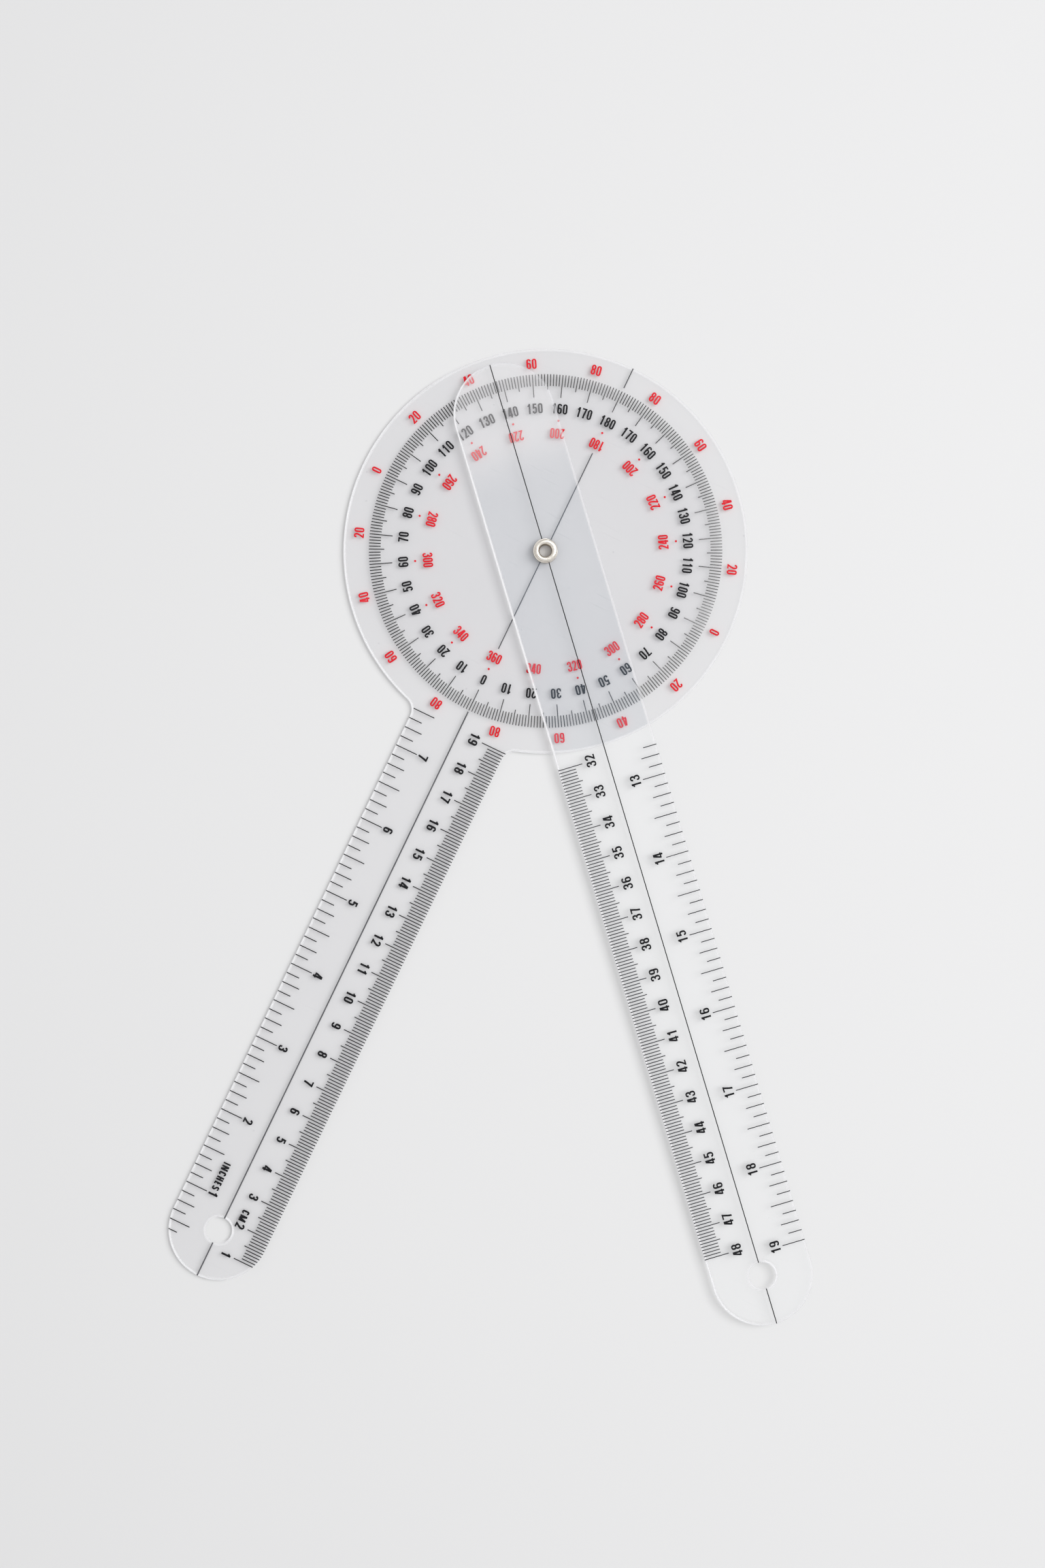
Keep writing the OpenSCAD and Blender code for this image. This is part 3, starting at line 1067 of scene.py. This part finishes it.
@dataclass
class Eyelet:
    """The hollow eyelet with its rolled lip, and the washer under the lip.

    Args:
        bore_r: radius of the bore.
        wall: wall of the barrel.
        lip_w: width of the rolled lip.
        flange_r: radius of the flange under the dial.
        flange_t: thickness of the flange.
        washer_r: radius of the washer.
        washer_gap: clearance between barrel and washer.
        washer_round: radius of the washer's corners.
        lean: how much narrower the lip is on its narrow side.
        waves: how far the lip's rim swings in and out, in three waves.
        widen: how much wider the lip is all round.
        lip_start: angle in degrees above the level where the lip's outer curve starts.
        lip_step: how far the lip's rim stands out past its underside.
        eased: how far the hollow corner between flange and barrel is filled.
        mouth: how far the bore's lower end is opened out.
        margin: how far the lip stays inside the flange's rim.
        segments: faces round the axis.
    """

    bore_r: float = 1.9
    wall: float = 0.45
    lip_w: float = 1.8
    flange_r: float = 3.8
    flange_t: float = 0.4
    washer_r: float = 3.8
    washer_gap: float = 0.02
    washer_round: float = 0.08
    lean: float = 0.32
    waves: float = 0.03
    widen: float = 0.07
    lip_start: float = 4.0
    lip_step: float = 0.06
    eased: float = 0.08
    mouth: float = 0.1
    margin: float = 0.01
    segments: int = 144

    def build_barrel(self, metal: bpy.types.Material, away: Point) -> bpy.types.Object:
        """Builds flange, barrel and lip as one turned form.

        Args:
            metal: the finish.
            away: level unit vector towards the side where the lip is narrow.

        Returns:
            The piece, riding on the dial.
        """
        lip_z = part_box("eyelet_washer")[1].z / MM
        outer, reach = self.bore_r + self.wall, self.lip_w - self.wall
        narrow, widest = math.atan2(away[1], away[0]), self.flange_r - self.margin
        ring = []
        for r, z in self._section(lip_z):
            share = max(0.0, r - outer) / reach if z >= lip_z - self.margin else 0.0
            ring.append((r, z, share))

        def pulled(turn: float) -> list[Point]:
            """The section at an angle, with the lip pulled in or out there."""
            lean, wave = 0.5 + 0.5 * math.cos(turn - narrow), math.sin(3 * turn + 1.0)
            pull = self.lean * lean + self.waves * wave - self.widen
            return [(min(r - pull * share, widest), z) for r, z, share in ring]

        return self._turned("eyelet_barrel", "pivot_eyelet", metal, pulled)

    def build_washer(self, metal: bpy.types.Material) -> bpy.types.Object:
        """Builds the washer with rounded corners.

        Args:
            metal: the finish.

        Returns:
            The piece, riding on the dial.
        """
        r = self.washer_round
        bottom, top = (corner.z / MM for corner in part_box("eyelet_washer"))
        low, high = bottom + r, top - r
        inside, outside = self.bore_r + self.wall + self.washer_gap + r, self.washer_r - r
        corners = ((outside, low, 270), (outside, high, 0), (inside, high, 90), (inside, low, 180))
        ring = [p for x, z, start in corners for p in sweep((x, z), r, start, start + 90, count=3)]
        return self._turned("lip_washer", "eyelet_washer", metal, lambda turn: ring)

    def _section(self, lip_z: float) -> list[Point]:
        """The eyelet's cross-section.

        Args:
            lip_z: height at which the lip starts to roll.

        Returns:
            Radius and height round the section, counter-clockwise.
        """
        outer, lip_r, edge = self.bore_r + self.wall, self.lip_w / 2, self.flange_t / 2
        lip = (self.bore_r + lip_r, lip_z)
        return [
            (self.bore_r + self.mouth, 0.0),
            *sweep((self.flange_r - edge, edge), edge, -90, 90, count=8),
            (outer + self.eased, self.flange_t),
            (outer, self.flange_t + self.eased),
            (outer, lip_z * 0.5),
            (outer, lip_z),
            *sweep(lip, lip_r - self.wall, 180, 0, count=12)[1:],
            (lip[0] + lip_r - self.lip_step, lip_z),
            *sweep(lip, lip_r, self.lip_start, 180, count=20),
            (self.bore_r, lip_z * 0.5),
            (self.bore_r, self.mouth),
        ]

    def _turned(
        self, name: str, node: str, metal: bpy.types.Material, section: Callable[[float], list[Point]]
    ) -> bpy.types.Object:
        """Turns a section round the axis.

        Args:
            name: the piece's name.
            node: the CAD node that it stands for.
            metal: the finish.
            section: gives radius and height round the section at an angle in radians.

        Returns:
            The piece, riding on the dial.
        """
        mesh = bmesh.new()
        rows = []
        for k in range(self.segments):
            turn = 2 * math.pi * k / self.segments
            x, y = math.cos(turn), math.sin(turn)
            rows.append([mesh.verts.new((r * x * MM, r * y * MM, z * MM)) for r, z in section(turn)])
        for row, after in zip(rows, rows[1:] + rows[:1]):
            for i in range(len(row)):
                j = (i + 1) % len(row)
                mesh.faces.new([row[i], after[i], after[j], row[j]]).smooth = True
        bmesh.ops.recalc_face_normals(mesh, faces=mesh.faces)
        return finish_piece(mesh, name, [metal], Body.DIAL, node)


@dataclass(frozen=True)
class Label:
    """One printed number or word.

    Args:
        text: what it reads.
        at: its middle.
        turn: the angle of its reading direction from +X in degrees.
    """

    text: str
    at: Point
    turn: float


@dataclass
class NumberGroup:
    """A group of printed labels that makes one piece.

    Args:
        name: the piece's name.
        face: the typeface.
        labels: the labels.
        slot: its material slot.
        body: the body that it rides on.
        turn: angle in degrees that the whole group is turned about the pivot.
    """

    name: str
    face: Typeface
    labels: list[Label]
    slot: Slot = Slot.BLACK
    body: Body = Body.DIAL
    turn: float = 0.0

    def build(self, material: bpy.types.Material, bottom: float, top: float) -> bpy.types.Object:
        """Builds the raised ink of the group.

        Args:
            material: the ink.
            bottom: height of the sheet's face in metres.
            top: height of the ink's face in metres.

        Returns:
            The piece, riding on its body.
        """
        mesh = bmesh.new()
        whole = Matrix.Rotation(math.radians(self.turn), 2)
        drop = self.face.height / 2
        for label in self.labels:
            own, at = Matrix.Rotation(math.radians(label.turn), 2), Vector(label.at)
            for glyph, left in self.face.lay_out(label.text):
                shape = self.face.shape(glyph)
                flat = [whole @ (at + own @ Vector((left + x, y - drop))) for x, y in shape.corners]
                low, high = ([mesh.verts.new((p.x * MM, p.y * MM, z)) for p in flat] for z in (bottom, top))
                for face in shape.triangles:
                    mesh.faces.new([high[i] for i in face])
                    mesh.faces.new([low[i] for i in reversed(face)])
                for a, b in shape.outline:
                    mesh.faces.new([low[a], low[b], high[b], high[a]])
        return finish_piece(mesh, self.name, [material], self.body)


def typeface(*sizes: float, **more: object) -> Typeface:
    """A typeface of these sizes, as the default of a dataclass field."""
    return field(default_factory=lambda: Typeface(*sizes, **more))


@dataclass
class Print:
    """All printed numbers and words, with the places where they stand.

    Args:
        arm_len: pivot to the tip of either arm, which is the rulers' zero on the fixed arm.
        rest_angle: angle between the arms at rest.
        dial_face: face of the dial's black and outer red numbers.
        inner_face: face of its inner red numbers.
        fixed_face: face of the fixed arm's numbers.
        moving_face: face of the moving arm's numbers.
        word_face: face of the rulers' unit words.
        black_r: pivot to the middle of the black numbers.
        outer_r: pivot to the middle of the outer red numbers.
        inner_r: pivot to the middle of the inner red numbers.
        fixed_x: how far right of the fixed arm's middle its centimetre and its inch numbers stand.
        moving_x: the same for the moving arm, as if it lay on the fixed arm.
        cm_at: middle of the centimetre ruler's word, from the fixed arm's tip.
        inches_at: middle of the inch ruler's word, from the fixed arm's tip.
        shift: how far the moving arm's numbers stand back from their marks.
    """

    arm_len: float = 252.8
    rest_angle: float = 42.4
    dial_face: Typeface = typeface(3.18, 1.45, 1.74, pen=Pen(0.268, 0.222))
    inner_face: Typeface = typeface(3.18, 1.37, 1.56, pen=Pen(0.262, 0.222))
    fixed_face: Typeface = typeface(3.1, 1.7, 2.09, pen=Pen(0.315, 0.25))
    moving_face: Typeface = typeface(3.1, 1.7, 2.09, pen=Pen(0.285, 0.226))
    word_face: Typeface = typeface(2.45, 1.3, 1.7, pen=Pen(0.28, 0.236), widths=LETTER_WIDTHS)
    black_r: float = 44.75
    outer_r: float = 58.75
    inner_r: float = 37.0
    fixed_x: Point = (5.4, -6.55)
    moving_x: Point = (-5.35, 6.35)
    cm_at: Point = (5.25, 23.4)
    inches_at: Point = (-6.65, 31.45)
    shift: float = 0.2

    def around(self, radius: float, marks: list[tuple[int, int]], facing: Facing) -> list[Label]:
        """Places numbers round the dial, on both sides of the fixed arm.

        Args:
            radius: pivot to the middle of the numbers.
            marks: pairs of an angle from the fixed arm and the number there.
            facing: which way their tops point.

        Returns:
            The labels.
        """
        labels = []
        for angle, number in marks:
            for side in (1,) if angle in (0, 180) else (1, -1):
                turn = math.radians(side * angle)
                at = (radius * math.sin(turn), -radius * math.cos(turn))
                labels.append(Label(str(number), at, side * angle + facing.value))
        return labels

    def up(self, x: float, step: float, numbers: range) -> list[Label]:
        """Places the numbers of a ruler that counts from the fixed arm's tip up to the pivot."""
        return [Label(str(k), (x, step * k - self.arm_len), -90) for k in numbers]

    def down(self, x: float, step: float, numbers: range) -> list[Label]:
        """Places the numbers of a ruler that counts on from the pivot down to the moving arm's tip."""
        return [Label(str(k), (x, self.arm_len - step * k + self.shift), 90) for k in numbers]

    def word(self, text: str, at: Point) -> list[Label]:
        """Places a ruler's unit word."""
        return [Label(text, (at[0], at[1] - self.arm_len), -90)]

    def groups(self) -> list[NumberGroup]:
        """Lists the groups of labels.

        Returns:
            Every group, each of which makes one piece.
        """
        black = self.around(self.black_r, [(a, a) for a in range(0, 181, 10)], Facing.OUTWARD)
        outer = self.around(self.outer_r, [(a, abs(90 - a)) for a in range(10, 171, 20)], Facing.OUTWARD)
        inner = self.around(self.inner_r, [(a, 360 - a) for a in range(0, 181, 20)], Facing.INWARD)
        (cm_x, inch_x), (cm_back, inch_back) = self.fixed_x, self.moving_x
        fixed, moving, words = self.fixed_face, self.moving_face, self.word_face
        arm = {"body": Body.ARM, "turn": self.rest_angle}
        return [
            NumberGroup("dial_black_numbers", self.dial_face, black),
            NumberGroup("dial_red_outer_numbers", self.dial_face, outer, Slot.RED),
            NumberGroup("dial_red_inner_numbers", self.inner_face, inner, Slot.RED),
            NumberGroup("fixed_arm_cm_numbers", fixed, self.up(cm_x, CM, range(1, 20))),
            NumberGroup("fixed_arm_inch_numbers", fixed, self.up(inch_x, INCH, range(1, 8))),
            NumberGroup("fixed_arm_cm_word", words, self.word("CM", self.cm_at)),
            NumberGroup("fixed_arm_inches_word", words, self.word("INCHES", self.inches_at)),
            NumberGroup("moving_arm_cm_numbers", moving, self.down(cm_back, CM, range(32, 49)), **arm),
            NumberGroup("moving_arm_inch_numbers", moving, self.down(inch_back, INCH, range(13, 20)), **arm),
        ]

    def build(self, inks: dict[Slot, bpy.types.Material]) -> None:
        """Builds every group on its sheet.

        Args:
            inks: the ink for each slot.
        """
        heights = {Body.DIAL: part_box("degree_ring"), Body.ARM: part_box("moving_arm_line")}
        for group in self.groups():
            low, high = heights[group.body]
            group.build(inks[group.slot], low.z, high.z)


@dataclass
class InkSpread:
    """A modifier that widens printed marks on the level, as wet ink runs a little past its stencil."""

    tree: bpy.types.NodeTree = field(init=False)
    reach: str = field(init=False)

    def __post_init__(self) -> None:
        """Builds the modifier's node group, which moves each corner out along its normal's level part."""
        self.tree = bpy.data.node_groups.new("ink_spread", "GeometryNodeTree")
        sockets = self.tree.interface
        sockets.new_socket("Marks", in_out="INPUT", socket_type="NodeSocketGeometry")
        self.reach = sockets.new_socket("Reach", in_out="INPUT", socket_type="NodeSocketFloat").identifier
        sockets.new_socket("Marks", in_out="OUTPUT", socket_type="NodeSocketGeometry")
        board = NodeBoard(self.tree)
        given = board.add("NodeGroupInput").outputs
        normal = board.add("GeometryNodeInputNormal").outputs["Normal"]
        corner = math.sqrt(3.0)  # turns a box corner's unit normal into one step along each of its sides
        way = board.add("ShaderNodeVectorMath", operation="MULTIPLY", in_0=normal, in_1=(corner, corner, 0.0))
        step = board.add("ShaderNodeVectorMath", operation="SCALE", in_0=way.outputs[0])
        board.feed(given["Reach"], step.inputs["Scale"])
        weld = board.add("GeometryNodeMergeByDistance", in_Geometry=given["Marks"], in_Distance=0.000001)
        place = board.add("GeometryNodeSetPosition", in_Geometry=weld.outputs[0], in_Offset=step.outputs[0])
        board.add("NodeGroupOutput", in_Marks=place.outputs[0])

    def widen(self, marks: bpy.types.Object, reach: float) -> None:
        """Widens marks.

        Args:
            marks: the object that holds them.
            reach: how far each side moves out, in millimetres.
        """
        modifier = marks.modifiers.new("ink_spread", "NODES")
        modifier.node_group = self.tree
        modifier[self.reach] = reach * MM


@dataclass(frozen=True)
class Mark:
    """One carried-over print node.

    Args:
        node: its name.
        ink: the name of its ink in the ink table.
        spread: how far its ink runs on each side, in millimetres.
    """

    node: str
    ink: str
    spread: float = 0.0


@dataclass
class Marks:
    """The printed marks and lines, which keep their CAD shapes and get their inks here."""

    marks: tuple[Mark, ...] = (
        Mark("degree_ring", "ring"),
        Mark("dial_centre_line", "grey"),
        Mark("dial_index_line", "grey"),
        Mark("fixed_arm_line", "grey", 0.04),
        Mark("fixed_arm_cm_scale", "black", 0.05),
        Mark("fixed_arm_inch_scale", "black", 0.05),
        Mark("moving_arm_line", "black", 0.02),
        Mark("moving_arm_cm_scale", "fine", 0.06),
        Mark("moving_arm_inch_scale", "fine", 0.06),
        Mark("dial_dots", "red"),
    )

    def dress(self, inks: dict[str, bpy.types.Material]) -> None:
        """Inks the marks.

        Args:
            inks: every ink by its name.
        """
        spread = InkSpread()
        for mark in self.marks:
            piece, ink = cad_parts[mark.node], inks[mark.ink]
            piece.data.materials.clear()
            piece.data.materials.append(ink)
            if mark.spread > 0.0:
                spread.widen(piece, mark.spread)
            LOG.info("%s: CAD node, %s", mark.node, ink.name)


@dataclass(frozen=True)
class SoftLight:
    """A square soft light that faces a spot on the table.

    Args:
        name: the light's name.
        spot: the spot that it faces, in metres to the picture's right and top from the pivot.
        side: degrees from the picture's right towards its top, where the light stands.
        rise: its height angle in degrees.
        far: its distance in metres.
        size: its side in metres.
        level: what it adds to a level white surface at its spot, where 1 is full white.
        mirrored: whether glossy surfaces show it.
        lights: whether it lights matt surfaces.
    """

    name: str
    spot: Point
    side: float
    rise: float
    far: float
    size: float
    level: float
    mirrored: bool = True
    lights: bool = True

    def add(self, tilt: float) -> None:
        """Adds the light.

        Args:
            tilt: angle in degrees between the picture's right and the row's +X.
        """
        lift, side = math.radians(self.rise), math.radians(self.side)
        data = bpy.data.lights.new(self.name, "AREA")
        data.shape, data.size = "SQUARE", self.size
        # a lamp of P watts adds P sin(rise) / (pi far)^2 to a level white surface
        data.energy = self.level * math.pi**2 * self.far**2 / math.sin(lift)
        way = Vector((math.cos(side) * math.cos(lift), math.sin(side) * math.cos(lift), math.sin(lift)))
        turn = Matrix.Rotation(math.radians(tilt), 3, "Z")
        lamp = put_in_scene(self.name, data)
        lamp.location = turn @ (Vector((*self.spot, 0.0)) + way * self.far)
        lamp.rotation_euler = (turn @ way).to_track_quat("Z", "Y").to_euler()
        lamp.visible_glossy, lamp.visible_diffuse = self.mirrored, self.lights


@dataclass
class Studio:
    """Camera, table and lights, as the photograph has them.

    Args:
        tilt: angle in degrees between the picture's right and the row's +X.
        window: the main light, at the picture's right.
        ceiling: the soft light overhead.
        skylight: what the upper half of the dial reflects.
        camera_at: the camera's place in metres.
        camera_lean: how far the camera leans from straight down, as a turn in degrees.
        lens: its focal length in millimetres.
        film: width and height of its film in millimetres.
        nearest: distance in metres from which on it sees.
        table_half: half the table's side in metres.
        sky: what the sky adds to a level white surface.
        sky_seen: how bright the sky looks to the camera.
        sky_mirrored: how bright the sky looks in metal.
    """

    tilt: float = 25.65
    window: SoftLight = SoftLight("window", (0.0, 0.0), 18.0, 47.0, 3.2, 2.2, 0.42)
    ceiling: SoftLight = SoftLight("ceiling", (0.12, -0.1), 0.0, 90.0, 1.0, 0.8, 0.33, mirrored=False)
    skylight: SoftLight = SoftLight("skylight", (0.1, 0.36), 60.0, 80.0, 1.5, 0.45, 0.12, lights=False)
    camera_at: tuple[float, float, float] = (0.03042, -0.06144, 0.68464)
    camera_lean: tuple[float, float, float] = (-0.374, 0.665, 0.071)
    lens: float = 50.0
    film: Point = (24.0, 36.0)
    nearest: float = 0.01
    table_half: float = 3.0
    sky: float = 0.4
    sky_seen: float = 0.85
    sky_mirrored: float = 0.7

    def away(self) -> Point:
        """Level unit vector from the window towards the object and on."""
        turn = math.radians(self.tilt + self.window.side)
        return -math.cos(turn), -math.sin(turn)

    def add_camera(self) -> None:
        """Puts the camera where the photograph was taken."""
        data = bpy.data.cameras.new("photo_camera")
        data.lens, data.clip_start, data.sensor_fit = self.lens, self.nearest, "VERTICAL"
        data.sensor_width, data.sensor_height = self.film
        lean = Vector([math.radians(a) for a in self.camera_lean])
        turn = Matrix.Rotation(math.radians(self.tilt), 3, "Z")
        pose = turn @ Matrix.Rotation(lean.length, 3, lean.normalized())
        camera = put_in_scene("photo_camera", data)
        camera.matrix_world = Matrix.Translation(self.camera_at) @ pose.to_4x4()
        bpy.context.scene.camera = camera

    def add_table(self, material: bpy.types.Material) -> None:
        """Lays the table under the object.

        Args:
            material: the table's finish.
        """
        mesh = bmesh.new()
        bmesh.ops.create_grid(mesh, x_segments=8, y_segments=8, size=self.table_half)
        table = settle(mesh, "table_top", [material])

    def add_world(self) -> None:
        """Surrounds the scene with even light."""
        world = bpy.data.worlds.new("studio_sky")
        bpy.context.scene.world = world
        world.use_nodes = True
        board = NodeBoard(world.node_tree)
        back = next(n for n in world.node_tree.nodes if n.type == "BACKGROUND")
        path = board.add("ShaderNodeLightPath").outputs
        looks = board.maths("MAXIMUM", path["Is Camera Ray"], path["Is Transmission Ray"])
        sky = board.blend(path["Is Glossy Ray"], grey(self.sky), grey(self.sky_mirrored))
        board.feed(board.blend(looks, sky, grey(self.sky_seen)), back.inputs["Color"])

    def build(self, table: bpy.types.Material) -> None:
        """Sets up the whole studio.

        Args:
            table: the table's finish.
        """
        self.add_camera()
        self.add_table(table)
        for light in (self.window, self.ceiling, self.skylight):
            light.add(self.tilt)
        self.add_world()
        bpy.context.scene.view_settings.view_transform = "Standard"


def main() -> None:
    """Builds the pieces in order, dresses them and sets up the studio."""
    logging.basicConfig(level=logging.INFO, format="%(message)s")
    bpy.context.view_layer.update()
    effects = Effects()
    studio = Studio()
    away = studio.away()
    prints = Print()
    tail = math.radians(prints.rest_angle)
    dial_clear = ClearSheet("dial_clear_sheet", (0.18, 0.16, 0.24), rim_loss=(0.2, 0.5))
    arm_clear = ClearSheet(
        "arm_clear_sheet",
        (0.92, 0.96, 1.0),
        veil=0.034,
        lap_veil=0.038,
        tail_veil=0.037,
        tail_way=(-math.sin(tail), math.cos(tail)),
    )
    edge = CutEdge("sheet_cut_edge", (0.88, 0.88, 0.91), away=away).make(effects)
    dark, pale = (0.06, 0.06, 0.065), (0.19, 0.19, 0.2)
    inks = {
        "black": PrintInk("black_print", (0.008, 0.008, 0.01), worn=(0.03, 0.03, 0.034)),
        "grey": PrintInk("dial_line_print", (0.11, 0.11, 0.118), worn=pale),
        # painted glare: the ring's ink turns paler towards +X, the window's side
        "ring": PrintInk("degree_ring_print", (0.02, 0.02, 0.022), worn=dark, cover=(0.86, 0.5)),
        "fine": PrintInk("fine_black_print", (0.035, 0.035, 0.04), worn=dark, cover=(0.92, 0.92)),
        "red": PrintInk("red_print", (0.72, 0.012, 0.024), worn=(0.8, 0.07, 0.09)),
    }
    inks = {name: ink.make(effects) for name, ink in inks.items()}
    metal = EyeletMetal("plated_eyelet", (0.92, 0.87, 0.79)).make(effects)
    dial = DialSheet("dial_and_fixed_arm", "dial_plate", Body.DIAL)
    dial.build(dial_clear.make(effects), edge)
    arm = ArmSheet("moving_arm_sheet", "moving_arm", Body.ARM, turn=prints.rest_angle)
    arm.build(arm_clear.make(effects), edge)
    eyelet = Eyelet()
    eyelet.build_barrel(metal, away)
    eyelet.build_washer(metal)
    Marks().dress(inks)
    prints.build({Slot.BLACK: inks["black"], Slot.RED: inks["red"]})
    studio.build(TableTop("pale_table", (0.805, 0.805, 0.81)).make(effects))


if __name__ == "__main__":
    main()
